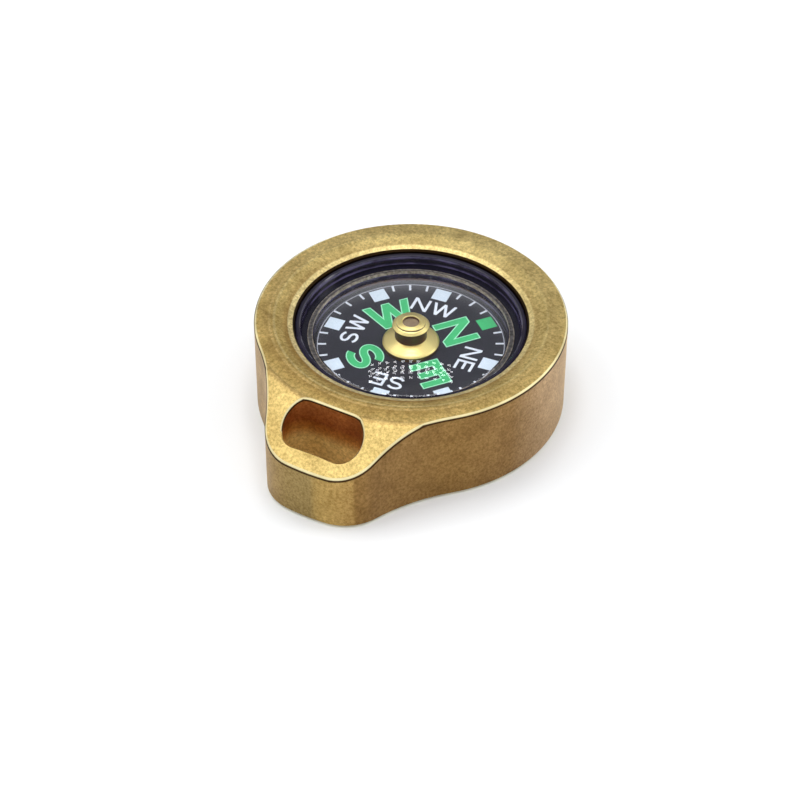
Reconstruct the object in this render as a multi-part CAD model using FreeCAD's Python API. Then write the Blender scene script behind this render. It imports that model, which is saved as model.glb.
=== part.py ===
"""Compass pendant: a turned and milled brass case with a lanyard slot, holding a 20 mm button compass.

The origin lies on the pivot axis in the case's back face. +Z points up out of the window and the tab
with the lanyard slot points to -Y. Every size is in millimetres.
"""

import FreeCAD
import Part
import math
import os

# Case, turned about the pivot axis
ring_width = 3.45
case_floor = 1.45
window_edge_drop = 0.6
ring_edge_drop = 0.1
crest_place_share = 0.5
window_break = 0.12
edge_break = 0.18
back_break = 0.25

# Tab with the lanyard slot
slot_length = 7.2
slot_width = 3.4
slot_bite = 0.05
slot_break = 0.16
tab_wall = 1.35
tab_corner_radius = 4.05
tab_corner_inset = 0.4
tab_flank_radius = 18.0
shoulder_offset = 0.35
shoulder_radius = 1.0
tab_slope_degrees = 37.5

# Capsule cup, bedded in the case's pocket
capsule_radius = 9.95
capsule_height = 6.3
capsule_clearance = 0.1
capsule_sink = 0.2
bedding_thickness = 0.2
bedding_margin = 0.95
cup_floor = 1.0
cup_rim_width = 0.4
cup_rim_break = 0.1
cup_corner_break = 0.4
cup_floor_break = 0.5

# Domed lens and its seal
lens_clearance = 0.05
lens_flange_sink = 0.85
lens_flange_thickness = 0.45
lens_flange_width = 1.0
lens_flange_break = 0.1
lens_centre_thickness = 0.5
lens_crown_rise = 0.64
seal_width = 0.45
seal_height = 0.3

# Dial card and the magnet under it
card_edge_gap = 0.3
card_thickness = 0.3
north_bearing_degrees = 38.4
magnet_length = 13.0
magnet_thickness = 0.45
magnet_eye_wall = 0.9
magnet_tip_width = 1.0
magnet_root_width = 2.4

# Turned hub that carries the card
hub_headroom = 0.15
hub_flange_radius = 2.45
hub_flange_edge = 0.5
hub_flange_break = 0.14
hub_flange_rise = 0.4
hub_neck_radius = 1.38
hub_neck_height = 1.09
hub_rim_overhang = 0.22
hub_rim_height = 0.28
hub_rim_break = 0.19
hub_bore_radius = 0.6
spigot_radius = 1.2
spigot_lip = 0.15
spigot_lip_height = 0.15
washer_width = 0.9
washer_thickness = 0.2

# Jewel and the bezel that holds it in the hub
jewel_radius = 0.9
jewel_thickness = 0.43
jewel_cup_depth = 0.3
jewel_cup_half_angle = 50.0
bezel_radius = 1.26
bezel_bore_radius = 0.72
bezel_seat_depth = 0.1
bezel_height = 0.28
bezel_break = 0.06

# Pivot needle and the post that holds it
needle_radius = 0.3
needle_tip_half_angle = 30.0
needle_tip_gap = 0.05
needle_seat = 0.6
post_gap = 0.5
post_radius = 0.9
post_base_radius = 1.7
post_base_share = 0.3
post_spigot_radius = 0.8
post_spigot_depth = 0.5

# One overrun for every cut, and what counts as touching
overrun = 1.0
touch = 0.0005

# Heights, from the back face up
pocket_floor = case_floor
cup_bottom = pocket_floor + bedding_thickness
cup_floor_top = cup_bottom + cup_floor
cup_top = cup_bottom + capsule_height
window_edge = cup_top + capsule_sink
crest = window_edge + window_edge_drop
flange_top = cup_top - lens_flange_sink
lens_bottom = flange_top - lens_flange_thickness
lens_crown = cup_top + lens_crown_rise
lens_ceiling = lens_crown - lens_centre_thickness

bezel_top = lens_ceiling - hub_headroom
bezel_bottom = bezel_top - bezel_height
hub_top = bezel_bottom + bezel_seat_depth
jewel_top = bezel_bottom
jewel_bottom = jewel_top - jewel_thickness
hub_rim_bottom = hub_top - hub_rim_height
hub_neck_foot = hub_rim_bottom - hub_neck_height
hub_flange_top = hub_neck_foot - hub_flange_rise
card_top = hub_flange_top - hub_flange_edge
card_bottom = card_top - card_thickness
magnet_bottom = card_bottom - magnet_thickness
washer_bottom = magnet_bottom - washer_thickness
spigot_end = washer_bottom - spigot_lip_height
post_top = spigot_end - post_gap
needle_tip = jewel_bottom + jewel_cup_depth - needle_tip_gap

# Radii
pocket_radius = capsule_radius + capsule_clearance
ring_radius = pocket_radius + ring_width
crest_radius = pocket_radius + crest_place_share * ring_width
lens_seat_radius = capsule_radius - cup_rim_width
lens_radius = lens_seat_radius - lens_clearance
dome_radius = lens_radius - lens_flange_width
seal_radius = dome_radius + seal_width
card_radius = dome_radius - card_edge_gap
slot_end_radius = slot_width / 2
slot_end_place = slot_length / 2 - slot_end_radius
slot_place = ring_radius - slot_bite + slot_end_radius
tab_end_radius = slot_place + slot_end_radius + tab_wall
tab_corner_across = slot_end_place - tab_corner_inset
tab_corner_reach = tab_end_radius - tab_corner_radius


def point(radius, height):
    """A point of a turned profile, in the XZ plane."""
    return FreeCAD.Vector(radius, 0, height)


def spot(across, along):
    """A point of a plan outline, on the back face."""
    return FreeCAD.Vector(across, along, 0)


def closed_wire(steps):
    """A closed wire through corners and arcs; an arc is given as its start, a middle point and its end."""
    edges = []
    last = steps[-1][-1] if isinstance(steps[-1], tuple) else steps[-1]
    for step in steps:
        points = step if isinstance(step, tuple) else (step,)
        if points[0].distanceToPoint(last) > touch:
            edges.append(Part.LineSegment(last, points[0]).toShape())
        if len(points) > 1:
            edges.append(Part.Arc(*points).toShape())
        last = points[-1]
    return Part.Wire(edges)


def turned(steps):
    """A solid of revolution about the pivot axis."""
    face = Part.Face(closed_wire(steps))
    return face.revolve(FreeCAD.Vector(0, 0, 0), FreeCAD.Vector(0, 0, 1), 360)


def disc(radius, bottom, top):
    return Part.makeCylinder(radius, top - bottom, FreeCAD.Vector(0, 0, bottom))


def ring(outer, inner, bottom, top):
    return disc(outer, bottom, top).cut(disc(inner, bottom - overrun, top + overrun))


def rounded(before, corner, after, radius):
    """The arc that rounds a corner of a profile, as start, middle and end."""
    to_before = (before - corner).normalize()
    to_after = (after - corner).normalize()
    half = to_before.getAngle(to_after) / 2
    reach = radius / math.tan(half)
    bisector = (to_before + to_after).normalize()
    middle = corner + bisector * (radius / math.sin(half) - radius)
    return (corner + to_before * reach, middle, corner + to_after * reach)


def on_circle(centre, radius, angle):
    """A point on a circle of the plan, the angle counted from the tab's axis (-Y) towards +X."""
    return centre + spot(math.sin(angle), -math.cos(angle)) * radius


def arc_about(centre, start, end):
    """The short arc about a centre, as start, middle and end."""
    halfway = ((start - centre) + (end - centre)).normalize()
    return (start, centre + halfway * start.distanceToPoint(centre), end)


def mirrored(arc):
    """The same arc on the other side of the tab, run the other way."""
    return tuple(spot(-place.x, place.y) for place in reversed(arc))


def case_outline():
    """The ring's circle, two hollow flanks tangent to it, round corners, and an end concentric with the ring."""
    centre = spot(0, 0)
    lean = math.asin(tab_corner_across / tab_corner_reach)
    flank_reach = ring_radius + tab_flank_radius
    flank_to_corner = tab_corner_radius + tab_flank_radius
    cosine = (tab_corner_reach ** 2 + flank_reach ** 2 - flank_to_corner ** 2) / (2 * tab_corner_reach * flank_reach)
    leave = lean + math.acos(cosine)
    corner = on_circle(centre, tab_corner_reach, lean)
    flank = on_circle(centre, flank_reach, leave)
    ring_foot = on_circle(centre, ring_radius, leave)
    corner_foot = corner + (flank - corner).normalize() * tab_corner_radius
    end_foot = on_circle(centre, tab_end_radius, lean)
    right_flank = arc_about(flank, ring_foot, corner_foot)
    right_corner = arc_about(corner, corner_foot, end_foot)
    tab_end = (end_foot, on_circle(centre, tab_end_radius, 0), on_circle(centre, tab_end_radius, -lean))
    ring_arc = (
        on_circle(centre, ring_radius, -leave),
        on_circle(centre, ring_radius, math.pi),
        ring_foot,
    )
    return closed_wire([
        ring_arc,
        right_flank,
        right_corner,
        tab_end,
        mirrored(right_corner),
        mirrored(right_flank),
    ])


def slot_outline():
    """The lanyard slot, its long side across the tab."""
    near = spot(0, slot_end_radius - slot_place).y
    far = spot(0, -slot_end_radius - slot_place).y
    right_end = (
        spot(slot_end_place, near),
        spot(slot_end_place + slot_end_radius, -slot_place),
        spot(slot_end_place, far),
    )
    left_end = (
        spot(-slot_end_place, far),
        spot(-slot_end_place - slot_end_radius, -slot_place),
        spot(-slot_end_place, near),
    )
    return closed_wire([right_end, left_end])


def case_envelope():
    """What the lathe leaves: a crested ring face, a rounded shoulder and the tab's cone."""
    fall = ring_edge_drop / (ring_radius - crest_radius)
    shoulder = ring_radius + shoulder_offset
    shoulder_height = crest - fall * (shoulder - crest_radius)
    brim = tab_end_radius + overrun
    brim_height = shoulder_height - math.tan(math.radians(tab_slope_degrees)) * (brim - shoulder)
    crest_point = point(crest_radius, crest)
    brim_point = point(brim, brim_height)
    corner = point(shoulder, shoulder_height)
    return turned([
        point(0, 0),
        point(brim, 0),
        brim_point,
        rounded(brim_point, corner, crest_point, shoulder_radius),
        crest_point,
        point(pocket_radius, window_edge),
        point(0, window_edge),
    ])


def edges_above(shape, wire, low, high):
    """The shape's edges that lie straight above a plan outline, between two heights."""
    found = []
    for edge in shape.Edges:
        box = edge.BoundBox
        if max(box.XLength, box.YLength) < touch or box.ZMin < low - touch or box.ZMax > high + touch:
            continue
        middle = edge.valueAt((edge.FirstParameter + edge.LastParameter) / 2)
        below = Part.Vertex(spot(middle.x, middle.y))
        if wire.distToShape(below)[0] < touch:
            found.append(edge)
    return found


def case_body():
    """Brass case: pocket for the capsule, lanyard slot, and a small break on every edge."""
    outline = case_outline()
    slot = slot_outline()
    height = crest + overrun
    blank = Part.Face(outline).extrude(FreeCAD.Vector(0, 0, height)).common(case_envelope())
    pocket = disc(pocket_radius, pocket_floor, height)
    slot_cut = Part.Face(slot).extrude(FreeCAD.Vector(0, 0, height + overrun))
    slot_cut.translate(FreeCAD.Vector(0, 0, -overrun))
    body = blank.cut(pocket).cut(slot_cut)
    body = body.makeChamfer(back_break, edges_above(body, outline, 0, 0))
    body = body.makeChamfer(slot_break, edges_above(body, slot, 0, 0))
    body = body.makeChamfer(edge_break, edges_above(body, outline, cup_bottom, crest))
    body = body.makeChamfer(slot_break, edges_above(body, slot, cup_bottom, crest))
    mouth = Part.Wire(Part.makeCircle(pocket_radius, FreeCAD.Vector(0, 0, 0)))
    return body.makeChamfer(window_break, edges_above(body, mouth, window_edge, window_edge))


def bedding_pad():
    """Thin adhesive pad between the pocket's floor and the capsule."""
    return disc(capsule_radius - bedding_margin, pocket_floor, cup_bottom)


def capsule_cup():
    """Moulded black cup: floor, wall, open groove for the seal, ledge for the lens's flange and a rim."""
    groove_floor = lens_bottom - seal_height
    cup = turned([
        point(0, cup_bottom),
        point(capsule_radius - cup_corner_break, cup_bottom),
        point(capsule_radius, cup_bottom + cup_corner_break),
        point(capsule_radius, cup_top - cup_rim_break),
        point(capsule_radius - cup_rim_break, cup_top),
        point(lens_seat_radius + cup_rim_break, cup_top),
        point(lens_seat_radius, cup_top - cup_rim_break),
        point(lens_seat_radius, lens_bottom),
        point(seal_radius, lens_bottom),
        point(seal_radius, groove_floor),
        point(dome_radius, groove_floor),
        point(dome_radius, cup_floor_top + cup_floor_break),
        point(dome_radius - cup_floor_break, cup_floor_top),
        point(0, cup_floor_top),
    ])
    return cup.cut(disc(post_spigot_radius, cup_floor_top - post_spigot_depth, cup_floor_top + overrun))


def lens_seal():
    """Flat rubber ring in the cup's groove, under the lens's flange."""
    return ring(seal_radius, dome_radius, lens_bottom - seal_height, lens_bottom)


def side_ball(rim_height, top_height):
    """A ball through the dome's foot circle and its top, with its poles at the sides and its seam below."""
    rise = top_height - rim_height
    radius = (dome_radius * dome_radius + rise * rise) / (2 * rise)
    return Part.makeSphere(radius, FreeCAD.Vector(0, 0, top_height - radius), FreeCAD.Vector(-1, 0, 0))


def lens():
    """Clear dome with a flat flange that rests on the cup's ledge and the seal."""
    flange = turned([
        point(dome_radius, lens_bottom),
        point(lens_radius, lens_bottom),
        point(lens_radius, flange_top - lens_flange_break),
        point(lens_radius - lens_flange_break, flange_top),
        point(dome_radius, flange_top),
    ])
    blank = disc(dome_radius, lens_bottom, lens_crown + overrun)
    dome = blank.common(side_ball(flange_top, lens_crown)).cut(side_ball(lens_bottom, lens_ceiling))
    return flange.fuse(dome).removeSplitter()


def pivot_post():
    """Brass post: a spigot pressed into the cup's floor, a base flange and a bored stem."""
    base_top = cup_floor_top + post_base_share * (post_top - cup_floor_top)
    spigot_bottom = cup_floor_top - post_spigot_depth
    needle_bottom = post_top - needle_seat
    post = turned([
        point(0, spigot_bottom),
        point(post_spigot_radius, spigot_bottom),
        point(post_spigot_radius, cup_floor_top),
        point(post_base_radius, cup_floor_top),
        point(post_base_radius, base_top),
        point(post_radius, base_top),
        point(post_radius, post_top),
        point(0, post_top),
    ])
    return post.cut(disc(needle_radius, needle_bottom, post_top + overrun))


def pivot_needle():
    """Hardened steel needle with a conical tip."""
    tip_length = needle_radius / math.tan(math.radians(needle_tip_half_angle))
    return turned([
        point(0, post_top - needle_seat),
        point(needle_radius, post_top - needle_seat),
        point(needle_radius, needle_tip - tip_length),
        point(0, needle_tip),
    ])


def dial_card():
    """Thin disc that carries the printed compass points."""
    return ring(card_radius, spigot_radius, card_bottom, card_top)


def magnet_bar():
    """Tapered bar magnet with a round eye, bonded under the card along its north line."""
    half = magnet_length / 2
    root = magnet_root_width / 2
    tip = magnet_tip_width / 2
    face = Part.Face(closed_wire([
        spot(-root, 0),
        spot(-tip, -half),
        spot(tip, -half),
        spot(root, 0),
        spot(tip, half),
        spot(-tip, half),
    ]))
    face.translate(FreeCAD.Vector(0, 0, magnet_bottom))
    bar = face.extrude(FreeCAD.Vector(0, 0, magnet_thickness))
    bar = bar.fuse(disc(spigot_radius + magnet_eye_wall, magnet_bottom, card_bottom)).removeSplitter()
    bar = bar.cut(disc(spigot_radius, magnet_bottom - overrun, card_bottom + overrun))
    bar.rotate(FreeCAD.Vector(0, 0, 0), FreeCAD.Vector(0, 0, 1), -north_bearing_degrees)
    return bar


def clamp_washer():
    """Brass washer that the hub's staked end holds against the magnet."""
    return ring(spigot_radius + washer_width, spigot_radius, washer_bottom, magnet_bottom)


def hub():
    """Turned brass hub: flange on the card, neck, rim, jewel seat and a spigot staked under the washer."""
    rim_radius = hub_neck_radius + hub_rim_overhang
    lip_radius = spigot_radius + spigot_lip
    return turned([
        point(hub_bore_radius, spigot_end),
        point(spigot_radius, spigot_end),
        point(lip_radius, spigot_end + spigot_lip_height / 2),
        point(lip_radius, washer_bottom),
        point(spigot_radius, washer_bottom),
        point(spigot_radius, card_top),
        point(hub_flange_radius, card_top),
        point(hub_flange_radius, hub_flange_top - hub_flange_break),
        point(hub_flange_radius - hub_flange_break, hub_flange_top),
        point(hub_neck_radius, hub_neck_foot),
        point(hub_neck_radius, hub_rim_bottom),
        point(rim_radius, hub_rim_bottom),
        point(rim_radius, hub_top - hub_rim_break),
        point(rim_radius - hub_rim_break, hub_top),
        point(bezel_radius, hub_top),
        point(bezel_radius, bezel_bottom),
        point(jewel_radius, bezel_bottom),
        point(jewel_radius, jewel_bottom),
        point(hub_bore_radius, jewel_bottom),
    ])


def jewel():
    """Round jewel with a conical cup in its underside for the needle's tip."""
    cup_mouth = jewel_cup_depth * math.tan(math.radians(jewel_cup_half_angle))
    return turned([
        point(cup_mouth, jewel_bottom),
        point(jewel_radius, jewel_bottom),
        point(jewel_radius, jewel_top),
        point(0, jewel_top),
        point(0, jewel_bottom + jewel_cup_depth),
    ])


def jewel_bezel():
    """Brass ring that closes the hub over the jewel."""
    return turned([
        point(bezel_bore_radius, bezel_bottom),
        point(bezel_radius, bezel_bottom),
        point(bezel_radius, bezel_top - bezel_break),
        point(bezel_radius - bezel_break, bezel_top),
        point(bezel_bore_radius + bezel_break, bezel_top),
        point(bezel_bore_radius, bezel_top - bezel_break),
    ])


def write_parts():
    """Each piece as its own file, named for its node."""
    os.makedirs("parts", exist_ok=True)
    pieces = (
        case_body, bedding_pad, capsule_cup, lens_seal, lens, pivot_post, pivot_needle,
        dial_card, magnet_bar, clamp_washer, hub, jewel, jewel_bezel,
    )
    for piece in pieces:
        shape = piece()
        print(piece.__name__, "solids", len(shape.Solids), "valid", shape.isValid(), "mm3", round(shape.Volume, 2))
        shape.exportStep("parts/" + piece.__name__ + ".step")


write_parts()
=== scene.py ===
"""Compass pendant: a satin brass case with a cord slot, round a button compass, on a white table.

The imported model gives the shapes. This script adds the dial's print, the finishes, the table, the light
and the camera. Places and sizes are in metres, and a name that ends in _mm is in millimetres.
"""

import math

import bmesh
import bpy
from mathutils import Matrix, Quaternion, Vector


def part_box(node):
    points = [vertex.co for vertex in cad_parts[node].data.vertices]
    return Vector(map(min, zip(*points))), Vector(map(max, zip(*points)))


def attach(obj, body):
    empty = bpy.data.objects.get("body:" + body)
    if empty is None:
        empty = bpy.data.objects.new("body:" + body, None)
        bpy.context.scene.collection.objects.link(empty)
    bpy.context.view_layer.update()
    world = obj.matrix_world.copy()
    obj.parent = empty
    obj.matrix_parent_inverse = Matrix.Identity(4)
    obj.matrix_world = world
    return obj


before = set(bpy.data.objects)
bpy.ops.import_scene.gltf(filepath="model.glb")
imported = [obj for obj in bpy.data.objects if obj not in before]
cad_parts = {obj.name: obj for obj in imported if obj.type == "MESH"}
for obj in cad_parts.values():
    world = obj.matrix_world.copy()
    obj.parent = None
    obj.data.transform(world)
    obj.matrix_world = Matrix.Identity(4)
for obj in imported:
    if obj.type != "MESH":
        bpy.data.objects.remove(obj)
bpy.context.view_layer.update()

MM = 0.001


def srgb(code):
    """A hex sRGB colour as the linear red, green, blue and alpha that shaders take."""
    parts = [int(code[i:i + 2], 16) / 255 for i in (1, 3, 5)]
    linear = [c / 12.92 if c <= 0.04045 else ((c + 0.055) / 1.055) ** 2.4 for c in parts]
    return (*linear, 1.0)


def add_node(tree, kind, settings=None, sockets=None):
    """Adds a shader node; a socket takes a plain value, or another node's output to link to.

    A Mix node's colours are its sockets 6 and 7, and its vectors are 4 and 5.
    """
    node = tree.nodes.new("ShaderNode" + kind)
    for name, value in (settings or {}).items():
        if name == "stops":
            elements = node.color_ramp.elements
            while len(elements) < len(value):
                elements.new(1.0)
            for element, (place, colour) in zip(elements, value):
                element.position = place
                element.color = colour
        else:
            setattr(node, name, value)
    for key, value in (sockets or {}).items():
        if isinstance(value, bpy.types.NodeSocket):
            tree.links.new(value, node.inputs[key])
        else:
            node.inputs[key].default_value = value
    return node


def new_material(name):
    """An empty node material and its node tree."""
    material = bpy.data.materials.new(name)
    material.use_nodes = True
    material.node_tree.nodes.clear()
    return material, material.node_tree


def finish_material(tree, shader):
    """Ends a material's tree in this shader."""
    add_node(tree, "OutputMaterial", sockets={"Surface": shader})


def per_mm(size_mm):
    """The scale of a texture in object space whose features are this many millimetres across."""
    return 1 / (size_mm * MM)


def waves_apart(gap_mm):
    """The scale of a wave texture in object space whose waves are this many millimetres apart.

    At a scale of 1, Blender's waves are 2 pi / 20 apart.
    """
    return per_mm(gap_mm) * 2 * math.pi / 20


# Finishes

# The box round the slot's bore, and heights in it: golden below, bare from the middle, red-brown above
slot_reach_mm = 3.7
slot_near_mm = 13.3
slot_far_mm = 17.0
slot_gold_mm = 4.4
slot_bare_mm = 5.9
slot_red_mm = 7.4

# The case's top, seen from the side: the crest, its fall outwards, and the line of the tab's slope
crest_place_mm = 11.775
crest_height_mm = 8.75
crest_fall = 0.058
slope_place_mm = 13.85
slope_height_mm = 8.63
slope_fall = 0.767

# Distances from the axis: the pocket's wall, the ring's band of tones, the ring's edge, and where the
# case's broken edges begin
pocket_wall_mm = 10.19
band_inner_mm = 10.0
band_outer_mm = 13.6
ring_edge_mm = 13.55
broken_from_mm = 13.0

# The ring's top is painted paler from the tab's side to the far side, as painted light, over this length
pale_front_mm = -12.0
pale_back_mm = 12.0

# How far up a face looks, from 0 for a wall to 1 for a level face: the most for a wall and for a broken
# edge, what the ring adds to that, and the least for the ring's top
wall_most = 0.33
broken_most = 0.74
broken_more_on_ring = 0.22
level_least = 0.92

# The back face lies below this height, and an edge's painted highlight and painted shadow line reach this
# far down a wall
back_face_mm = 1.0
painted_edge_reach_mm = 0.5


def milled_brass():
    """Free-machining brass, turned or milled and then blasted: satin, with a fine sandy grain.

    The broken edges carry a painted highlight, a pale line, with a thin painted shadow line below it.
    The walls carry painted light and shade, paler or darker by the way that they face. The slot's bore
    is painted red-brown above, as shade, and golden below, as the table's light reflected in. The ring's
    top carries painted light and shade in rings round the axis, and is painted paler on its far side.
    """
    material, tree = new_material("milled_blasted_brass")
    place = add_node(tree, "TexCoord").outputs["Object"]
    normal = add_node(tree, "NewGeometry").outputs["Normal"]
    facing = add_node(tree, "SeparateXYZ", sockets={0: normal})
    up = add_node(tree, "Math", {"operation": "ABSOLUTE"}, {0: facing.outputs["Z"]})
    spot = add_node(tree, "SeparateXYZ", sockets={0: place})
    flat_place = add_node(tree, "VectorMath", {"operation": "MULTIPLY"}, {0: place, 1: (1.0, 1.0, 0.0)})
    away = add_node(tree, "VectorMath", {"operation": "LENGTH"}, {0: flat_place.outputs["Vector"]})
    outwards = add_node(tree, "VectorMath", {"operation": "NORMALIZE"}, {0: flat_place.outputs["Vector"]})

    # Walls, by the way that they face, counted from the tab's end towards the right: painted light and
    # shade for the lit and shaded table that they mirror, with a pale band at the tab's corner
    walls_face = add_node(tree, "Math", {"operation": "ARCTAN2"}, {
        0: facing.outputs["X"],
        1: add_node(tree, "Math", {"operation": "MULTIPLY"}, {0: facing.outputs["Y"], 1: -1.0}).outputs[0],
    })
    wall_turn = add_node(tree, "MapRange", sockets={
        "Value": walls_face.outputs[0], "From Min": -math.pi, "From Max": math.pi})
    wall_tone = add_node(tree, "ValToRGB", {"stops": [
        (0.2, srgb("#D2B478")),
        (0.283, srgb("#D6B68C")),
        (0.43, srgb("#BEA26C")),
        (0.505, srgb("#B39C66")),
        (0.509, srgb("#CDAE6A")),
        (0.607, srgb("#C8A566")),
        (0.616, srgb("#AA8650")),
        (0.687, srgb("#AC8856")),
        (0.736, srgb("#D4B48A")),
        (0.833, srgb("#E5C595")),
        (0.9, srgb("#D8B87C")),
        (1.0, srgb("#D2B478")),
    ]}, {"Fac": wall_turn.outputs["Result"]})
    # Every other face, by how far up it looks: a painted highlight on a broken edge, and painted light on
    # the tab's slope and on a level face
    level_tone = add_node(tree, "ValToRGB", {"stops": [
        (0.3, srgb("#FFFFFF")),
        (0.37, srgb("#FFF5D0")),
        (0.71, srgb("#FFF5D0")),
        (0.76, srgb("#F8DE93")),
        (0.83, srgb("#F2D68C")),
        (0.9, srgb("#DCC07E")),
    ]}, {"Fac": up.outputs[0]})
    upright = add_node(tree, "Math", {"operation": "LESS_THAN"}, {0: up.outputs[0], 1: wall_most})
    sides = add_node(tree, "Mix", {"data_type": "RGBA"}, {
        "Factor": upright.outputs[0], 6: level_tone.outputs["Color"], 7: wall_tone.outputs["Color"]})

    # The ring's top, from the window outwards, in painted light and shade: painted shade in the corner, a
    # painted highlight on the lip, a darker hollow, a painted highlight on the crest and pale and dark
    # rings beyond it
    top_turn = add_node(tree, "MapRange", sockets={
        "Value": away.outputs["Value"], "From Min": band_inner_mm * MM, "From Max": band_outer_mm * MM})
    top_tone = add_node(tree, "ValToRGB", {"stops": [
        (0.045, srgb("#3A2A18")),
        (0.055, srgb("#FFF0B8")),
        (0.156, srgb("#FFF0B8")),
        (0.189, srgb("#BE9652")),
        (0.264, srgb("#CBA85F")),
        (0.333, srgb("#DDC077")),
        (0.444, srgb("#E2C67A")),
        (0.494, srgb("#FCE8A6")),
        (0.542, srgb("#D8B870")),
        (0.611, srgb("#F6D890")),
        (0.653, srgb("#DAB870")),
        (0.833, srgb("#EECE80")),
        (0.972, srgb("#FCDE90")),
    ]}, {"Fac": top_turn.outputs["Result"]})
    # Painted light: the ring's top is paler towards its far side
    back_share = add_node(tree, "MapRange", sockets={
        "Value": spot.outputs["Y"],
        "From Min": pale_front_mm * MM,
        "From Max": pale_back_mm * MM,
        "To Max": 0.85,
    })
    top_painted_light = add_node(tree, "Mix", {"data_type": "RGBA"}, {
        "Factor": back_share.outputs["Result"], 6: top_tone.outputs["Color"], 7: srgb("#FFEAA4")})
    in_ring = add_node(tree, "Math", {"operation": "LESS_THAN"}, {
        0: away.outputs["Value"], 1: ring_edge_mm * MM})
    on_top = add_node(tree, "Math", {"operation": "GREATER_THAN"}, {
        0: facing.outputs["Z"], 1: level_least})
    on_ring = add_node(tree, "Math", {"operation": "MULTIPLY"}, {
        0: in_ring.outputs[0], 1: on_top.outputs[0]})
    topped = add_node(tree, "Mix", {"data_type": "RGBA"}, {
        "Factor": on_ring.outputs[0], 6: sides.outputs[2], 7: top_painted_light.outputs[2]})

    # The slot's bore, told from the other walls by the box that it lies in
    across = add_node(tree, "Math", {"operation": "ABSOLUTE"}, {0: spot.outputs["X"]})
    in_width = add_node(tree, "Math", {"operation": "LESS_THAN"}, {
        0: across.outputs[0], 1: slot_reach_mm * MM})
    near = add_node(tree, "Math", {"operation": "LESS_THAN"}, {
        0: spot.outputs["Y"], 1: -slot_near_mm * MM})
    far = add_node(tree, "Math", {"operation": "GREATER_THAN"}, {
        0: spot.outputs["Y"], 1: -slot_far_mm * MM})
    in_length = add_node(tree, "Math", {"operation": "MULTIPLY"}, {0: near.outputs[0], 1: far.outputs[0]})
    in_walls = add_node(tree, "Math", {"operation": "MULTIPLY"}, {
        0: in_width.outputs[0], 1: upright.outputs[0]})
    in_slot = add_node(tree, "Math", {"operation": "MULTIPLY"}, {
        0: in_length.outputs[0], 1: in_walls.outputs[0]})
    # Painted light in the bore: golden low down, as the table's light reflected in, and red-brown higher
    # up, as shade
    depth = add_node(tree, "MapRange", sockets={
        "Value": spot.outputs["Z"], "From Min": slot_gold_mm * MM, "From Max": slot_red_mm * MM})
    bore_tone = add_node(tree, "ValToRGB", {"stops": [
        (0.0, srgb("#FFDE8C")),
        (0.35, srgb("#E6A858")),
        (0.7, srgb("#C47C44")),
    ]}, {"Fac": depth.outputs["Result"]})
    bored = add_node(tree, "Mix", {"data_type": "RGBA"}, {
        "Factor": in_slot.outputs[0], 6: topped.outputs[2], 7: bore_tone.outputs["Color"]})
    # A film of lacquer is left low in the bore, so less bare metal shows there
    film_low = add_node(tree, "MapRange", sockets={
        "Value": spot.outputs["Z"],
        "From Min": slot_gold_mm * MM,
        "From Max": slot_bare_mm * MM,
        "To Min": -0.9,
        "To Max": 0.0,
    })
    bare = add_node(tree, "Math", {"operation": "MULTIPLY_ADD"}, {
        0: in_slot.outputs[0], 1: film_low.outputs["Result"], 2: 1.0})

    # How far a point of a wall lies below the top: a painted highlight on the broken edge, a thin painted
    # shadow line under it, and then clear
    flat_line = add_node(tree, "Math", {"operation": "MULTIPLY_ADD"}, {
        0: away.outputs["Value"], 1: -crest_fall, 2: (crest_height_mm + crest_fall * crest_place_mm) * MM})
    slope_line = add_node(tree, "Math", {"operation": "MULTIPLY_ADD"}, {
        0: away.outputs["Value"], 1: -slope_fall, 2: (slope_height_mm + slope_fall * slope_place_mm) * MM})
    top_line = add_node(tree, "Math", {"operation": "MINIMUM"}, {
        0: flat_line.outputs[0], 1: slope_line.outputs[0]})
    below = add_node(tree, "Math", {"operation": "SUBTRACT"}, {
        0: top_line.outputs[0], 1: spot.outputs["Z"]})
    edge_turn = add_node(tree, "MapRange", sockets={
        "Value": below.outputs[0], "From Max": painted_edge_reach_mm * MM})
    edge_tone = add_node(tree, "ValToRGB", {"stops": [
        (0.22, srgb("#FFF2BE")),
        (0.3, srgb("#4A341E")),
        (0.5, srgb("#4A341E")),
        (0.66, (*srgb("#4A341E")[:3], 0.0)),
    ]}, {"Fac": edge_turn.outputs["Result"]})
    most_up = add_node(tree, "Math", {"operation": "MULTIPLY_ADD"}, {
        0: in_ring.outputs[0], 1: broken_more_on_ring, 2: broken_most})
    leaning = add_node(tree, "Math", {"operation": "LESS_THAN"}, {0: up.outputs[0], 1: most_up.outputs[0]})
    beyond = add_node(tree, "Math", {"operation": "GREATER_THAN"}, {
        0: away.outputs["Value"], 1: broken_from_mm * MM})
    edge_here = add_node(tree, "Math", {"operation": "MULTIPLY"}, {
        0: leaning.outputs[0], 1: beyond.outputs[0]})
    edge_share = add_node(tree, "Math", {"operation": "MULTIPLY"}, {
        0: edge_here.outputs[0], 1: edge_tone.outputs["Alpha"]})

    # The pocket's wall, painted dark as shade, which shows as a dark line round the capsule
    in_pocket = add_node(tree, "Math", {"operation": "LESS_THAN"}, {
        0: away.outputs["Value"], 1: pocket_wall_mm * MM})
    over_back = add_node(tree, "Math", {"operation": "GREATER_THAN"}, {
        0: spot.outputs["Z"], 1: back_face_mm * MM})
    in_window = add_node(tree, "Math", {"operation": "MULTIPLY"}, {
        0: in_pocket.outputs[0], 1: over_back.outputs[0]})
    windowed = add_node(tree, "Mix", {"data_type": "RGBA"}, {
        "Factor": in_window.outputs[0], 6: bored.outputs[2], 7: srgb("#3A2A18")})
    edged = add_node(tree, "Mix", {"data_type": "RGBA"}, {
        "Factor": edge_share.outputs[0], 6: windowed.outputs[2], 7: edge_tone.outputs["Color"]})

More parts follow.
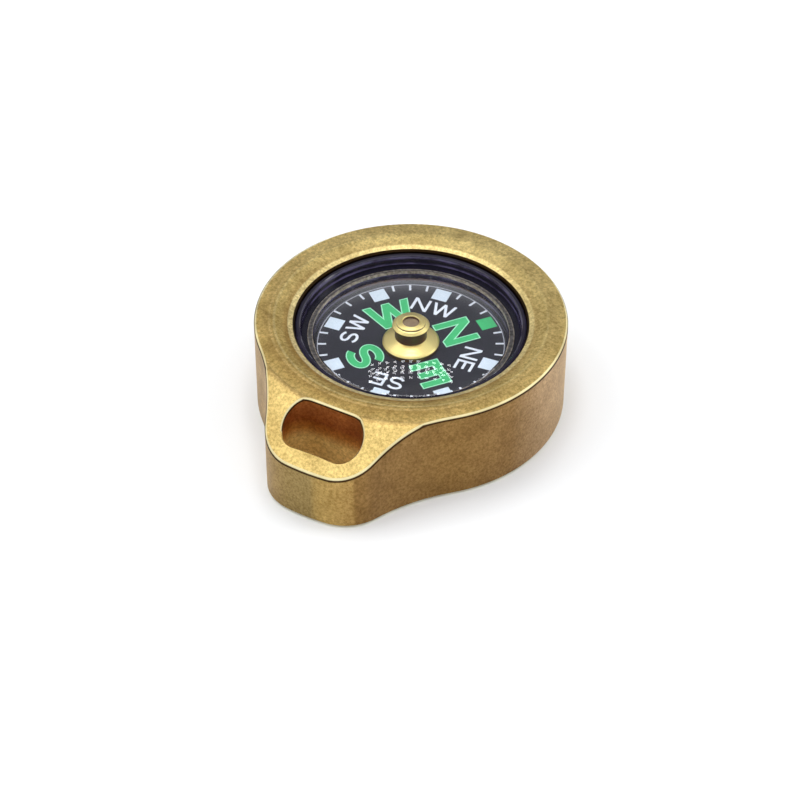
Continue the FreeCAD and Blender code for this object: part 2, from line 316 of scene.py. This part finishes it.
    # Clouds of tone a few millimetres wide, and the blasting's grain, drawn coarser than the real one
    clouds = add_node(tree, "TexNoise", sockets={
        "Vector": place, "Scale": per_mm(2.4), "Detail": 2.0, "Roughness": 0.5})
    grain = add_node(tree, "TexNoise", sockets={
        "Vector": place, "Scale": per_mm(0.26), "Detail": 5.0, "Roughness": 0.75})
    cloud_tone = add_node(tree, "ValToRGB", {"stops": [
        (0.3, srgb("#E2DED6")),
        (0.7, srgb("#FFFFFF")),
    ]}, {"Fac": clouds.outputs["Fac"]})
    grain_tone = add_node(tree, "ValToRGB", {"stops": [
        (0.36, srgb("#C4BCAE")),
        (0.62, srgb("#FFFFFF")),
    ]}, {"Fac": grain.outputs["Fac"]})
    # The grain keeps off the broken edges, where their painted highlight lies
    blasted = add_node(tree, "ValToRGB", {"stops": [
        (0.3, srgb("#FFFFFF")),
        (0.37, srgb("#000000")),
        (0.71, srgb("#000000")),
        (0.76, srgb("#FFFFFF")),
    ]}, {"Fac": up.outputs[0]})
    clouded = add_node(tree, "Mix", {"data_type": "RGBA", "blend_type": "MULTIPLY"}, {
        "Factor": 1.0, 6: edged.outputs[2], 7: cloud_tone.outputs["Color"]})
    grained = add_node(tree, "Mix", {"data_type": "RGBA", "blend_type": "MULTIPLY"}, {
        "Factor": blasted.outputs["Color"], 6: clouded.outputs[2], 7: grain_tone.outputs["Color"]})
    rough = add_node(tree, "MapRange", sockets={
        "Value": grain.outputs["Fac"], "From Min": 0.3, "From Max": 0.7, "To Min": 0.46, "To Max": 0.58})

    # The ring's face leans hard at the lip, lightly in the hollow, and rounds over the crest
    lip_lean = add_node(tree, "MapRange", {"interpolation_type": "SMOOTHSTEP"}, {
        "Value": away.outputs["Value"],
        "From Min": 10.5 * MM,
        "From Max": 10.75 * MM,
        "To Min": -0.28,
        "To Max": 0.0,
    })
    crest_lean = add_node(tree, "MapRange", {"interpolation_type": "SMOOTHSTEP"}, {
        "Value": away.outputs["Value"],
        "From Min": 11.3 * MM,
        "From Max": 12.2 * MM,
        "To Min": -0.2,
        "To Max": 0.06,
    })
    lean = add_node(tree, "Math", {"operation": "ADD"}, {
        0: lip_lean.outputs["Result"], 1: crest_lean.outputs["Result"]})
    tilt = add_node(tree, "VectorMath", {"operation": "SCALE"}, {
        0: outwards.outputs["Vector"], "Scale": lean.outputs[0]})
    curved = add_node(tree, "VectorMath", {"operation": "ADD"}, {
        0: tilt.outputs["Vector"], 1: (0.0, 0.0, 1.0)})
    shaped = add_node(tree, "Mix", {"data_type": "VECTOR"}, {
        "Factor": on_ring.outputs[0], 4: normal, 5: curved.outputs["Vector"]})
    smooth = add_node(tree, "VectorMath", {"operation": "NORMALIZE"}, {0: shaped.outputs[1]})
    relief = add_node(tree, "Bump", sockets={
        "Strength": 0.25,
        "Distance": 0.02 * MM,
        "Height": grain.outputs["Fac"],
        "Normal": smooth.outputs["Vector"],
    })
    shader = add_node(tree, "BsdfPrincipled", sockets={
        "Metallic": bare.outputs[0],
        "Base Color": grained.outputs[2],
        "Roughness": rough.outputs["Result"],
        "Normal": relief.outputs["Normal"],
    })
    finish_material(tree, shader.outputs[0])
    return material


# A level turned face leans outwards by this much for each millimetre from the axis. It counts as level
# when it looks up by at least the second number.
crown_lean = 0.38
crowned_least = 0.985


def turned_brass():
    """Brass turned on a lathe and left bright: glossy, with very fine rings round the axis.

    The sides that stand upright are painted a darker brown, as painted shade.
    """
    material, tree = new_material("bright_turned_brass")
    place = add_node(tree, "TexCoord").outputs["Object"]
    normal = add_node(tree, "NewGeometry").outputs["Normal"]
    facing = add_node(tree, "SeparateXYZ", sockets={0: normal})
    up = add_node(tree, "Math", {"operation": "ABSOLUTE"}, {0: facing.outputs["Z"]})
    # Painted shade: the faces that stand upright are darkened brown
    film = add_node(tree, "ValToRGB", {"stops": [
        (0.1, srgb("#6E5240")),
        (0.4, srgb("#FFFFFF")),
    ]}, {"Fac": up.outputs[0]})
    # The real tool marks are finer: these are drawn as coarse as they need to be to show
    rings = add_node(tree, "TexWave", {"wave_type": "RINGS", "rings_direction": "Z"}, {
        "Vector": place, "Scale": waves_apart(0.12), "Distortion": 0.4, "Detail": 1.0})
    tone = add_node(tree, "ValToRGB", {"stops": [
        (0.0, srgb("#F6DA80")),
        (1.0, srgb("#FFEDA0")),
    ]}, {"Fac": rings.outputs["Fac"]})
    shaded_tone = add_node(tree, "Mix", {"data_type": "RGBA", "blend_type": "MULTIPLY"}, {
        "Factor": 1.0, 6: tone.outputs["Color"], 7: film.outputs["Color"]})
    # The level faces are crowned a little, so they take the light at their near side
    level = add_node(tree, "Math", {"operation": "GREATER_THAN"}, {
        0: facing.outputs["Z"], 1: crowned_least})
    crown = add_node(tree, "VectorMath", {"operation": "MULTIPLY"}, {
        0: place, 1: (crown_lean / MM, crown_lean / MM, 0.0)})
    crowned = add_node(tree, "VectorMath", {"operation": "SCALE"}, {
        0: crown.outputs["Vector"], "Scale": level.outputs[0]})
    leaned = add_node(tree, "VectorMath", {"operation": "ADD"}, {0: crowned.outputs["Vector"], 1: normal})
    smooth = add_node(tree, "VectorMath", {"operation": "NORMALIZE"}, {0: leaned.outputs["Vector"]})
    relief = add_node(tree, "Bump", sockets={
        "Strength": 0.08,
        "Distance": 0.006 * MM,
        "Height": rings.outputs["Fac"],
        "Normal": smooth.outputs["Vector"],
    })
    shader = add_node(tree, "BsdfPrincipled", sockets={
        "Metallic": 1.0,
        "Base Color": shaded_tone.outputs[2],
        "Roughness": 0.36,
        "Normal": relief.outputs["Normal"],
    })
    finish_material(tree, shader.outputs[0])
    return material


def ground_steel(name, dark):
    """Hardened steel or magnet alloy, ground: grey, with a fine uneven shine."""
    material, tree = new_material(name)
    place = add_node(tree, "TexCoord").outputs["Object"]
    grain = add_node(tree, "TexNoise", sockets={"Vector": place, "Scale": per_mm(0.08), "Detail": 2.0})
    tone = add_node(tree, "Mix", {"data_type": "RGBA"}, {
        "Factor": grain.outputs["Fac"], 6: srgb(dark), 7: srgb("#C4C6C8")})
    shader = add_node(tree, "BsdfPrincipled", sockets={
        "Metallic": 1.0,
        "Base Color": tone.outputs[2],
        "Roughness": 0.28,
    })
    finish_material(tree, shader.outputs[0])
    return material


def dull_sheet(name, dark, light, roughness, grain_mm, relief_mm):
    """Foam or card, cut from the sheet: dull, with a faint drift of tone and a fine skin."""
    material, tree = new_material(name)
    place = add_node(tree, "TexCoord").outputs["Object"]
    skin = add_node(tree, "TexNoise", sockets={"Vector": place, "Scale": per_mm(grain_mm), "Detail": 3.0})
    tone = add_node(tree, "Mix", {"data_type": "RGBA"}, {
        "Factor": skin.outputs["Fac"], 6: srgb(dark), 7: srgb(light)})
    relief = add_node(tree, "Bump", sockets={
        "Strength": 0.2, "Distance": relief_mm * MM, "Height": skin.outputs["Fac"]})
    shader = add_node(tree, "BsdfPrincipled", sockets={
        "Base Color": tone.outputs[2],
        "Roughness": roughness,
        "IOR": 1.5,
        "Normal": relief.outputs["Normal"],
    })
    finish_material(tree, shader.outputs[0])
    return material


seal_width_mm = 0.45


def pressed_rubber():
    """Grey moulded rubber, pressed under the lens: dark midway, with painted highlights, pale, at both
    edges.
    """
    material, tree = new_material("grey_seal_rubber")
    place = add_node(tree, "TexCoord").outputs["Object"]
    skin = add_node(tree, "TexNoise", sockets={"Vector": place, "Scale": per_mm(0.3), "Detail": 4.0})
    flat_place = add_node(tree, "VectorMath", {"operation": "MULTIPLY"}, {0: place, 1: (1.0, 1.0, 0.0)})
    away = add_node(tree, "VectorMath", {"operation": "LENGTH"}, {0: flat_place.outputs["Vector"]})
    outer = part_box("lens_seal")[1][0]
    across = add_node(tree, "MapRange", sockets={
        "Value": away.outputs["Value"], "From Min": outer - seal_width_mm * MM, "From Max": outer})
    # Painted highlights: the seal is pale at both its edges
    edge_highlights = add_node(tree, "ValToRGB", {"stops": [
        (0.06, srgb("#E6D6BC")),
        (0.2, srgb("#8A8480")),
        (0.74, srgb("#96908A")),
        (0.86, srgb("#D8CCB8")),
    ]}, {"Fac": across.outputs["Result"]})
    patches = add_node(tree, "ValToRGB", {"stops": [
        (0.38, srgb("#B4B0AC")),
        (0.62, srgb("#FFFFFF")),
    ]}, {"Fac": skin.outputs["Fac"]})
    tone = add_node(tree, "Mix", {"data_type": "RGBA", "blend_type": "MULTIPLY"}, {
        "Factor": 1.0, 6: edge_highlights.outputs["Color"], 7: patches.outputs["Color"]})
    relief = add_node(tree, "Bump", sockets={
        "Strength": 0.2, "Distance": 0.01 * MM, "Height": skin.outputs["Fac"]})
    shader = add_node(tree, "BsdfPrincipled", sockets={
        "Base Color": tone.outputs[2],
        "Roughness": 0.45,
        "IOR": 1.5,
        "Normal": relief.outputs["Normal"],
    })
    finish_material(tree, shader.outputs[0])
    return material


def glossy_abs():
    """Black ABS from a polished mould: glossy, with the shallow turning rings of the mould on its walls,
    and painted reflections along them.
    """
    material, tree = new_material("black_moulded_abs")
    place = add_node(tree, "TexCoord").outputs["Object"]
    drift = add_node(tree, "TexNoise", sockets={"Vector": place, "Scale": per_mm(2.5), "Detail": 3.0})
    # The real rings are finer: these are drawn as coarse as they need to be to show
    rings = add_node(tree, "TexWave", {"bands_direction": "Z"}, {
        "Vector": place,
        "Scale": waves_apart(0.67),
        "Distortion": 0.6,
        "Detail": 2.0,
        "Detail Scale": 3.0,
    })
    painted_streaks = add_node(tree, "Math", {"operation": "MULTIPLY"}, {
        0: rings.outputs["Fac"], 1: drift.outputs["Fac"]})
    # Painted reflections: pale lavender streaks along the rings
    tone = add_node(tree, "ValToRGB", {"stops": [
        (0.1, srgb("#1B1824")),
        (0.34, srgb("#363146")),
        (0.5, srgb("#645E7E")),
    ]}, {"Fac": painted_streaks.outputs[0]})
    relief = add_node(tree, "Bump", sockets={
        "Strength": 0.35, "Distance": 0.012 * MM, "Height": rings.outputs["Fac"]})
    shader = add_node(tree, "BsdfPrincipled", sockets={
        "Base Color": tone.outputs["Color"],
        "Roughness": 0.12,
        "IOR": 1.54,
        "Normal": relief.outputs["Normal"],
    })
    finish_material(tree, shader.outputs[0])
    return material


def clear_acrylic():
    """Cast acrylic, polished: clear, with the shine and the bending of light that acrylic has."""
    material, tree = new_material("polished_cast_acrylic")
    shader = add_node(tree, "BsdfPrincipled", sockets={
        "Base Color": srgb("#FAFBFF"),
        "Roughness": 0.0,
        "IOR": 1.49,
        "Transmission Weight": 1.0,
    })
    # Light falls through onto the dial as it does through a thin lens, without the noise of focused light
    through = add_node(tree, "BsdfTransparent", sockets={"Color": srgb("#F2F4F8")})
    shadow_ray = add_node(tree, "LightPath").outputs["Is Shadow Ray"]
    mixed = add_node(tree, "MixShader", sockets={
        0: shadow_ray, 1: shader.outputs[0], 2: through.outputs[0]})
    finish_material(tree, mixed.outputs[0])
    return material


def synthetic_ruby():
    """Synthetic ruby, sawn and polished: glassy, and brown from the hub's shade behind it."""
    material, tree = new_material("synthetic_ruby")
    place = add_node(tree, "TexCoord").outputs["Object"]
    veil = add_node(tree, "TexNoise", sockets={"Vector": place, "Scale": per_mm(0.5), "Detail": 2.0})
    tone = add_node(tree, "Mix", {"data_type": "RGBA"}, {
        "Factor": veil.outputs["Fac"], 6: srgb("#745D45"), 7: srgb("#9A8464")})
    shader = add_node(tree, "BsdfPrincipled", sockets={
        "Base Color": tone.outputs[2],
        "Roughness": 0.12,
        "IOR": 1.76,
    })
    finish_material(tree, shader.outputs[0])
    return material


def screen_ink(name, dark, light):
    """Screen-printed ink: matt, with a film that is slightly uneven."""
    material, tree = new_material(name)
    place = add_node(tree, "TexCoord").outputs["Object"]
    film = add_node(tree, "TexNoise", sockets={"Vector": place, "Scale": per_mm(0.25), "Detail": 3.0})
    tone = add_node(tree, "Mix", {"data_type": "RGBA"}, {
        "Factor": film.outputs["Fac"], 6: srgb(dark), 7: srgb(light)})
    shader = add_node(tree, "BsdfPrincipled", sockets={
        "Base Color": tone.outputs[2],
        "Roughness": 0.5,
        "IOR": 1.5,
    })
    finish_material(tree, shader.outputs[0])
    return material


bright_brass = turned_brass()

FINISHES = {
    "case_body": milled_brass(),
    "bedding_pad": dull_sheet(
        "grey_bedding_foam", "#2E2E2E", "#3A3A3A", roughness=0.8, grain_mm=0.2, relief_mm=0.02),
    "capsule_cup": glossy_abs(),
    "lens_seal": pressed_rubber(),
    "lens": clear_acrylic(),
    "pivot_post": bright_brass,
    "pivot_needle": ground_steel("ground_needle_steel", "#9A9DA0"),
    "dial_card": dull_sheet(
        "matt_black_card", "#100E16", "#1B1922", roughness=0.42, grain_mm=0.3, relief_mm=0.004),
    "magnet_bar": ground_steel("ground_magnet_alloy", "#55585C"),
    "clamp_washer": bright_brass,
    "hub": bright_brass,
    "jewel": synthetic_ruby(),
    "jewel_bezel": bright_brass,
}
for node_name, finish in FINISHES.items():
    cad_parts[node_name].data.materials.clear()
    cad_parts[node_name].data.materials.append(finish)


# Print on the dial card

# The way that the N looks, the ink's height over the card and its depth in it, and the gap that is
# welded shut
north_deg = 51.6
ink_mm = 0.015
ink_sunk_mm = 0.003
weld_mm = 0.0004
card_top_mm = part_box("dial_card")[1][2] / MM

rim_line_mm = (8.0, 8.07)
tick_mm = (0.2, 0.72)
tick_outer_mm = 8.0
tick_step_deg = 11.25
square_mm = 1.42
square_place_mm = 7.12
square_step_deg = 45

# A letter's height, its middle's distance from the axis, and its pen as a share of its height
cardinal_height_mm = 3.05
cardinal_place_mm = 4.25
cardinal_pen = 0.19
cardinal_edge_mm = 0.1
pair_height_mm = 1.6
pair_place_mm = 5.25
pair_pen = 0.15
pair_gap_mm = 0.3

# A letter's width, between the middles of its outer strokes, as a share of its height
LETTER_WIDTHS = {"N": 0.78, "W": 1.14, "E": 0.62, "S": 0.66}


def capital(letter, pen, grow):
    """Pen strokes of a capital letter one unit tall; the bars of an E reach further by grow.

    Upright and slanting strokes run past the foot and the top, where they are cut off later.
    """
    half = pen / 2
    wide = LETTER_WIDTHS[letter]
    if letter == "N":
        return [[(0, -1), (0, 1), (wide, 0), (wide, 2)]]
    if letter == "W":
        return [[(-wide / 4, 2), (wide / 4, 0), (wide / 2, 1), (3 * wide / 4, 0), (5 * wide / 4, 2)]]
    if letter == "E":
        bars = [[(half + grow, y), (wide + half + grow, y)] for y in (half, 0.5, 1 - half)]
        bars[1][1] = (wide + grow, 0.5)
        return [[(0, -1), (0, 2)], *bars]
    # The S is two bows, the upper one drawn from its end to the middle, then the lower one
    tall = (1 - pen) / 4
    turns = [(0.5 + tall, a) for a in range(20, 271, 10)] + [(0.5 - tall, a) for a in range(80, -161, -10)]
    bow = []
    for level, turn in turns:
        a = math.radians(turn)
        bow.append((wide / 2 * (1 + math.cos(a)), level + tall * math.sin(a)))
    return [bow]


def cut_flat(corners, level, keep_above):
    """A convex outline cut off at a level, as a letter is at its foot and its top."""
    kept = []
    for here, there in zip(corners, corners[1:] + corners[:1]):
        here_in = (here.y >= level) == keep_above
        there_in = (there.y >= level) == keep_above
        if here_in:
            kept.append(here)
        if here_in != there_in:
            kept.append(here.lerp(there, (level - here.y) / (there.y - here.y)))
    return kept


def pen_stroke(path, pen, low, high):
    """Flat faces of one pen stroke with mitred corners, cut off at the letter's foot and top."""
    path = [Vector(p) for p in path]
    steps = [(b - a).normalized() for a, b in zip(path, path[1:])]
    sides = []
    for i, here in enumerate(path):
        before = steps[max(i - 1, 0)]
        after = steps[min(i, len(steps) - 1)]
        across = Vector((-before.y - after.y, before.x + after.x)) / (1 + before.dot(after))
        sides.append((here + across * pen / 2, here - across * pen / 2))
    faces = []
    for (left, right), (next_left, next_right) in zip(sides, sides[1:]):
        face = cut_flat([left, next_left, next_right, right], low, True)
        face = cut_flat(face, high, False) if face else face
        if len(face) > 2:
            faces.append(face)
    return faces


def dial_ways(bearing_deg):
    """Unit directions outwards and to the right on the dial, at a bearing clockwise from north."""
    angle = math.radians(north_deg - bearing_deg)
    out = Vector((math.cos(angle), math.sin(angle)))
    return out, Vector((out.y, -out.x))


def dial_word(word, bearing_deg, place_mm, height_mm, pen, gap_mm=0.0, edge_mm=0.0):
    """Flat faces of a word whose top points outwards; edge_mm widens each stroke on every side."""
    grow = edge_mm / height_mm
    along = []
    cursor = 0.0
    for letter in word:
        along.append((capital(letter, pen, grow), cursor))
        cursor += LETTER_WIDTHS[letter] + pen + gap_mm / height_mm
    middle = (cursor - gap_mm / height_mm - pen) / 2
    out, right = dial_ways(bearing_deg)
    faces = []
    for strokes, start in along:
        for path in strokes:
            for face in pen_stroke(path, pen + 2 * grow, -grow, 1 + grow):
                faces.append([
                    right * (p.x + start - middle) * height_mm + out * (place_mm + (p.y - 0.5) * height_mm)
                    for p in face
                ])
    return faces


def dial_block(bearing_deg, place_mm, wide_mm, tall_mm):
    """A flat rectangle set square to its bearing."""
    out, right = dial_ways(bearing_deg)
    corners = ((-1, -1), (1, -1), (1, 1), (-1, 1))
    return [right * x * wide_mm / 2 + out * (place_mm + y * tall_mm / 2) for x, y in corners]


def dial_circle(inner_mm, outer_mm, steps=180):
    """Flat faces of a thin printed circle."""
    faces = []
    for i in range(steps):
        a = 2 * math.pi * i / steps
        b = 2 * math.pi * (i + 1) / steps
        faces.append([
            Vector((math.cos(t), math.sin(t))) * r
            for t, r in ((a, inner_mm), (a, outer_mm), (b, outer_mm), (b, inner_mm))
        ])
    return faces


def print_layer(name, faces, ink, lift_mm=0.0):
    """A closed film of ink on the card, from flat faces in millimetres; lift_mm makes it thicker."""
    shape = bmesh.new()
    bottom_mm = card_top_mm - ink_sunk_mm
    for corners in faces:
        shape.faces.new([shape.verts.new((p.x * MM, p.y * MM, bottom_mm * MM)) for p in corners])
    bmesh.ops.remove_doubles(shape, verts=shape.verts, dist=weld_mm * MM)
    bmesh.ops.dissolve_degenerate(shape, dist=weld_mm * MM, edges=shape.edges)
    bmesh.ops.recalc_face_normals(shape, faces=shape.faces)
    for face in shape.faces:
        if face.normal.z > 0:
            face.normal_flip()
    raised = bmesh.ops.extrude_face_region(shape, geom=list(shape.faces))
    top = [part for part in raised["geom"] if isinstance(part, bmesh.types.BMVert)]
    thickness_mm = ink_mm + ink_sunk_mm + lift_mm
    bmesh.ops.translate(shape, verts=top, vec=Vector((0, 0, thickness_mm * MM)))
    bmesh.ops.recalc_face_normals(shape, faces=shape.faces)
    mesh = bpy.data.meshes.new(name)
    shape.to_mesh(mesh)
    shape.free()
    layer = bpy.data.objects.new(name, mesh)
    bpy.context.scene.collection.objects.link(layer)
    mesh.materials.append(ink)
    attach(layer, "dial")


white_ink = screen_ink("white_screen_ink", "#DCE3E8", "#F2F5F7")
ice_ink = screen_ink("ice_white_screen_ink", "#CEDEE6", "#E9F2F6")
worn_ink = screen_ink("worn_white_screen_ink", "#7E828A", "#E2E4EA")
green_ink = screen_ink("green_luminous_ink", "#2FB162", "#47C47A")
pale_green_ink = screen_ink("pale_green_ink", "#9CEBBA", "#B5F3CC")

CARDINALS = {"N": 0, "E": 90, "S": 180, "W": 270}
PAIRS = {"NE": 45, "SE": 135, "SW": 225, "NW": 315}

print_layer("print_rim_line", dial_circle(*rim_line_mm), worn_ink)
# Every fourth place has a square in place of a tick
print_layer("print_ticks", [
    dial_block(tick_step_deg * i, tick_outer_mm - tick_mm[1] / 2, *tick_mm)
    for i in range(32) if i % 4
], white_ink)
print_layer("print_squares", [
    dial_block(square_step_deg * i, square_place_mm, square_mm, square_mm) for i in range(1, 8)
], ice_ink)
print_layer("print_north_square", [dial_block(0, square_place_mm, square_mm, square_mm)], green_ink)
for letter, bearing in CARDINALS.items():
    print_layer("print_edge_" + letter, dial_word(
        letter, bearing, cardinal_place_mm, cardinal_height_mm, cardinal_pen, edge_mm=cardinal_edge_mm,
    ), pale_green_ink)
    print_layer("print_" + letter, dial_word(
        letter, bearing, cardinal_place_mm, cardinal_height_mm, cardinal_pen,
    ), green_ink, lift_mm=ink_mm)
for word, bearing in PAIRS.items():
    print_layer("print_" + word, dial_word(
        word, bearing, pair_place_mm, pair_height_mm, pair_pen, gap_mm=pair_gap_mm,
    ), white_ink)


# Table

# The table reaches past every view. It lies a hair under the case's back, so that the two faces don't
# share a plane.
table_reach = 3.0
table_drop_mm = 0.01


def table_top():
    """Matt white laminate, pressed flat: it shows as an even white ground with a soft shadow."""
    material, tree = new_material("matt_white_laminate")
    place = add_node(tree, "TexCoord").outputs["Object"]
    drift = add_node(tree, "TexNoise", sockets={"Vector": place, "Scale": per_mm(90), "Detail": 1.0})
    tone = add_node(tree, "Mix", {"data_type": "RGBA"}, {
        "Factor": drift.outputs["Fac"], 6: srgb("#DCDDDE"), 7: srgb("#E0E1E1")})
    shader = add_node(tree, "BsdfDiffuse", sockets={"Color": tone.outputs[2]})
    finish_material(tree, shader.outputs[0])
    mesh = bpy.data.meshes.new("table_top")
    corners = ((-1, -1), (1, -1), (1, 1), (-1, 1))
    mesh.from_pydata(
        [(x * table_reach, y * table_reach, -table_drop_mm * MM) for x, y in corners], [], [(0, 1, 2, 3)])
    mesh.materials.append(material)
    table = bpy.data.objects.new("table_top", mesh)
    bpy.context.scene.collection.objects.link(table)


table_top()


# Camera

camera_azimuth_deg = 28.448
camera_elevation_deg = 40.976
camera_distance_mm = 206.43
camera_lens_mm = 105.1
camera_roll_deg = 0.143
aim_mm = Vector((1.989, -5.545, 4.25))

azimuth = math.radians(camera_azimuth_deg)
elevation = math.radians(camera_elevation_deg)
camera_data = bpy.data.cameras.new("camera")
camera_data.lens = camera_lens_mm
camera_data.sensor_width = 36.0
camera_data.clip_start = 0.01
camera_data.clip_end = 20.0
camera = bpy.data.objects.new("camera", camera_data)
camera.location = Vector((
    math.sin(azimuth) * math.cos(elevation),
    -math.cos(azimuth) * math.cos(elevation),
    math.sin(elevation),
)) * camera_distance_mm * MM
level_view = (aim_mm * MM - camera.location).to_track_quat("-Z", "Y")
camera.rotation_euler = (level_view @ Quaternion((0, 0, 1), math.radians(camera_roll_deg))).to_euler()
bpy.context.scene.collection.objects.link(camera)
bpy.context.scene.camera = camera


# Light

def toward(azimuth_deg, elevation_deg):
    """Unit direction from the pendant, the azimuth counted from the camera's, to the viewer's right."""
    a = math.radians(camera_azimuth_deg + azimuth_deg)
    e = math.radians(elevation_deg)
    return Vector((math.sin(a) * math.cos(e), -math.cos(a) * math.cos(e), math.sin(e)))


# The dark part of the room behind the pendant: its height, and the angles from its middle between
# which it fades
dark_deg = 49
dark_core_deg = 23
dark_edge_deg = 39
room_light = 0.9

# The panel of small lamps: its height, and across and up, the lamps' pitch and half the panel's size
panel_deg = 66.5
panel_pitch_deg = (2.6, 2.3)
panel_half_deg = (14.3, 3.45)
panel_lamp_share = 0.22
panel_light = 10.0


def studio_world():
    """Pale room light, with a dark part behind the pendant that keeps the lens clear of glare."""
    world = bpy.data.worlds.new("studio")
    bpy.context.scene.world = world
    world.use_nodes = True
    tree = world.node_tree
    tree.nodes.clear()
    direction = add_node(tree, "TexCoord").outputs["Generated"]
    near = add_node(tree, "VectorMath", {"operation": "DOT_PRODUCT"}, {
        0: direction, 1: toward(180, dark_deg)})
    light = add_node(tree, "MapRange", {"interpolation_type": "SMOOTHSTEP"}, {
        "Value": near.outputs["Value"],
        "From Min": math.cos(math.radians(dark_edge_deg)),
        "From Max": math.cos(math.radians(dark_core_deg)),
        "To Min": 1.0,
        "To Max": 0.28,
    })
    colour = add_node(tree, "Mix", {"data_type": "RGBA"}, {
        "Factor": light.outputs["Result"], 6: srgb("#0A0A10"), 7: srgb("#F4F6FA")})
    shine = add_node(tree, "Background", sockets={"Color": colour.outputs[2], "Strength": room_light})

    # A panel of small lamps behind the pendant, which shows in the lens as rows of dots. What is lit
    # starts as the panel's side of the room and is cut down to the lamps, across and then up.
    forward = add_node(tree, "VectorMath", {"operation": "DOT_PRODUCT"}, {
        0: direction, 1: toward(180, panel_deg)})
    lit = add_node(tree, "Math", {"operation": "GREATER_THAN"}, {0: forward.outputs["Value"], 1: 0.5})
    panel_ways = (toward(90, 0), toward(180, panel_deg + 90))
    for way, pitch, half in zip(panel_ways, panel_pitch_deg, panel_half_deg):
        along = add_node(tree, "VectorMath", {"operation": "DOT_PRODUCT"}, {0: direction, 1: way})
        slant = add_node(tree, "Math", {"operation": "DIVIDE"}, {
            0: along.outputs["Value"], 1: forward.outputs["Value"]})
        size = add_node(tree, "Math", {"operation": "ABSOLUTE"}, {0: slant.outputs[0]})
        inside = add_node(tree, "Math", {"operation": "LESS_THAN"}, {
            0: size.outputs[0], 1: math.radians(half)})
        repeat = add_node(tree, "Math", {"operation": "PINGPONG"}, {
            0: slant.outputs[0], 1: math.radians(pitch / 2)})
        dot = add_node(tree, "Math", {"operation": "LESS_THAN"}, {
            0: repeat.outputs[0], 1: math.radians(pitch * panel_lamp_share)})
        both = add_node(tree, "Math", {"operation": "MULTIPLY"}, {0: inside.outputs[0], 1: dot.outputs[0]})
        lit = add_node(tree, "Math", {"operation": "MULTIPLY"}, {0: lit.outputs[0], 1: both.outputs[0]})
    lamps = add_node(tree, "Background", sockets={"Color": srgb("#FFFFFF"), "Strength": panel_light})
    room = add_node(tree, "MixShader", sockets={
        0: lit.outputs[0], 1: shine.outputs[0], 2: lamps.outputs[0]})
    add_node(tree, "OutputWorld", sockets={"Surface": room.outputs[0]})


softbox_away_mm = 500


def softbox(name, azimuth_deg, elevation_deg, wide_mm, tall_mm, watts):
    """A rectangular soft lamp that looks at the pendant."""
    data = bpy.data.lights.new(name, "AREA")
    data.shape = "RECTANGLE"
    data.size = wide_mm * MM
    data.size_y = tall_mm * MM
    data.energy = watts
    lamp = bpy.data.objects.new(name, data)
    lamp.location = toward(azimuth_deg, elevation_deg) * softbox_away_mm * MM
    lamp.rotation_euler = (-lamp.location).to_track_quat("-Z", "Y").to_euler()
    bpy.context.scene.collection.objects.link(lamp)
    return lamp


studio_world()
softbox("key_softbox", -95, 55, 260, 200, 0.5)
softbox("fill_softbox", 100, 45, 160, 200, 0.35)
softbox("top_softbox", 0, 84, 240, 240, 0.75)
# Draws the shadow forward on the table, and is hidden from what shines and from what is seen through glass
back_lamp = softbox("back_softbox", -168, 76, 240, 240, 0.8)
back_lamp.visible_glossy = False
back_lamp.visible_transmission = False

bpy.context.scene.view_settings.view_transform = "Standard"
